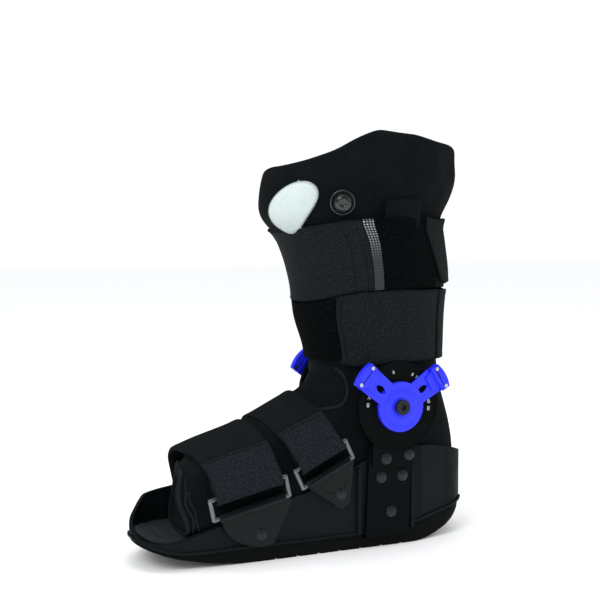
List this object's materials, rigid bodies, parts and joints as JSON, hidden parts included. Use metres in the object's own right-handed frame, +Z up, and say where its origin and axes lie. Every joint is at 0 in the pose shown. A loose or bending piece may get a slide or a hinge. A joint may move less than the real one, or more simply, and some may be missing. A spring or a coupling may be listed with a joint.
{
  "type": "ankle foot orthosis",
  "caption": "Pneumatic walker boot orthosis: rocker-soled foot shell, padded liner, strapped calf uprights and adjustable range-of-motion ankle hinges.",
  "frame": {"origin": "on the floor under the middle of the boot, where its flat sole stretch rests", "axes": "+X towards the toe, +Y towards the side with the strap rings and the air valve, +Z up"},
  "size_m": [0.286, 0.1268, 0.3255],
  "materials": {
    "sole_rubber": "matt black moulded rubber",
    "shell_plastic": "satin black moulded plastic",
    "tab_plastic": "satin black plastic",
    "dial_plastic": "satin black plastic with white scale numbers",
    "black_metal": "black powder coat",
    "upright_metal": "satin black coat on an aluminium bar",
    "rivet_metal": "black enamel",
    "ring_metal": "glossy black enamel",
    "bright_steel": "bright",
    "nylon": "natural nylon",
    "blue_plastic": "glossy blue plastic",
    "liner_fabric": "black brushed foam laminate",
    "bed_fabric": "dark grey brushed fabric",
    "webbing": "dark grey webbing",
    "hook_pile": "black loop pile",
    "strap_pad": "dark foam pad",
    "white_knit": "off-white knit",
    "bladder": "translucent bladder film",
    "valve_plastic": "glossy dark grey plastic"
  },
  "bodies": {
    "foot": {"outsole": "sole_rubber", "foot_shell": "shell_plastic", "footbed": "bed_fabric", "stirrup": "black_metal", "hinge_plate_left": "black_metal", "hinge_plate_right": "black_metal", "dial_left": "dial_plastic", "dial_right": "dial_plastic", "hinge_rivets": "rivet_metal", "tab_rivets": "rivet_metal", "pivot_screws": "rivet_metal", "pivot_nuts": "bright_steel", "forefoot_tab": "tab_plastic", "instep_tab": "tab_plastic", "forefoot_strap": "webbing", "instep_strap": "webbing", "forefoot_hook_patch": "hook_pile", "instep_hook_patch": "hook_pile", "liner_foot": "liner_fabric"},
    "leg": {"upright_left": "upright_metal", "upright_right": "upright_metal", "upright_sleeve_left": "liner_fabric", "upright_sleeve_right": "liner_fabric", "hinge_washers": "nylon", "liner_leg": "liner_fabric", "air_cell_left": "bladder", "air_cell_right": "bladder", "air_tube": "bladder", "valve_collar": "valve_plastic", "bulb_patch": "white_knit", "lower_calf_strap": "webbing", "upper_calf_strap": "webbing", "upper_loop_panel": "hook_pile", "lower_loop_panel": "hook_pile", "upper_strap_pad": "strap_pad", "lower_strap_end": "webbing"},
    "valve_button": {"valve_knob": "valve_plastic"},
    "pump": {"pump_bulb": "bladder"},
    "ring_forefoot": {"forefoot_ring": "ring_metal"},
    "ring_instep": {"instep_ring": "ring_metal"},
    "lever_front_left": {"lever_front_left": "blue_plastic"},
    "latch_front_left": {"latch_front_left": "blue_plastic", "latch_pins_front_left": "bright_steel"},
    "lever_rear_left": {"lever_rear_left": "blue_plastic"},
    "latch_rear_left": {"latch_rear_left": "blue_plastic", "latch_pins_rear_left": "bright_steel"},
    "lever_front_right": {"lever_front_right": "blue_plastic"},
    "latch_front_right": {"latch_front_right": "blue_plastic", "latch_pins_front_right": "bright_steel"},
    "lever_rear_right": {"lever_rear_right": "blue_plastic"},
    "latch_rear_right": {"latch_rear_right": "blue_plastic", "latch_pins_rear_right": "bright_steel"}
  },
  "joints": [
    {"name": "ankle_hinge", "type": "hinge", "parent": "foot", "child": "leg", "pos_m": [-0.063, 0, 0.112], "axis": [0, 1, 0], "range_deg": [-25, 15]},
    {"name": "stop_front_left", "type": "hinge", "parent": "foot", "child": "lever_front_left", "pos_m": [-0.063, 0, 0.112], "axis": [0, 1, 0], "range_deg": [-30, 15]},
    {"name": "release_front_left", "type": "slide", "parent": "lever_front_left", "child": "latch_front_left", "axis": [0.7771, 0, 0.6293], "range_m": [0, 0.0025], "stiffness_N_per_m": 900, "springref_m": -0.001},
    {"name": "stop_rear_left", "type": "hinge", "parent": "foot", "child": "lever_rear_left", "pos_m": [-0.063, 0, 0.112], "axis": [0, 1, 0], "range_deg": [-15, 30]},
    {"name": "release_rear_left", "type": "slide", "parent": "lever_rear_left", "child": "latch_rear_left", "axis": [-0.848, 0, 0.5299], "range_m": [0, 0.0025], "stiffness_N_per_m": 900, "springref_m": -0.001},
    {"name": "stop_front_right", "type": "hinge", "parent": "foot", "child": "lever_front_right", "pos_m": [-0.063, 0, 0.112], "axis": [0, 1, 0], "range_deg": [-30, 15]},
    {"name": "release_front_right", "type": "slide", "parent": "lever_front_right", "child": "latch_front_right", "axis": [0.7771, 0, 0.6293], "range_m": [0, 0.0025], "stiffness_N_per_m": 900, "springref_m": -0.001},
    {"name": "stop_rear_right", "type": "hinge", "parent": "foot", "child": "lever_rear_right", "pos_m": [-0.063, 0, 0.112], "axis": [0, 1, 0], "range_deg": [-15, 30]},
    {"name": "release_rear_right", "type": "slide", "parent": "lever_rear_right", "child": "latch_rear_right", "axis": [-0.848, 0, 0.5299], "range_m": [0, 0.0025], "stiffness_N_per_m": 900, "springref_m": -0.001},
    {"name": "valve_press", "type": "slide", "parent": "leg", "child": "valve_button", "axis": [-0.372, -0.9192, 0.1289], "range_m": [0, 0.002], "stiffness_N_per_m": 600, "springref_m": -0.001},
    {"name": "pump_press", "type": "slide", "parent": "leg", "child": "pump", "axis": [-0.9467, -0.3222, 0], "range_m": [0, 0.003], "stiffness_N_per_m": 600, "springref_m": -0.001},
    {"name": "forefoot_ring_swing", "type": "hinge", "parent": "foot", "child": "ring_forefoot", "pos_m": [0.06038, 0.0528, 0.04383], "axis": [-0.9781, 0, 0.2079], "range_deg": [-4, 4]},
    {"name": "instep_ring_swing", "type": "hinge", "parent": "foot", "child": "ring_instep", "pos_m": [-0.00246, 0.0528, 0.06446], "axis": [-0.9026, 0, 0.4305], "range_deg": [-4, 4]}
  ]
}
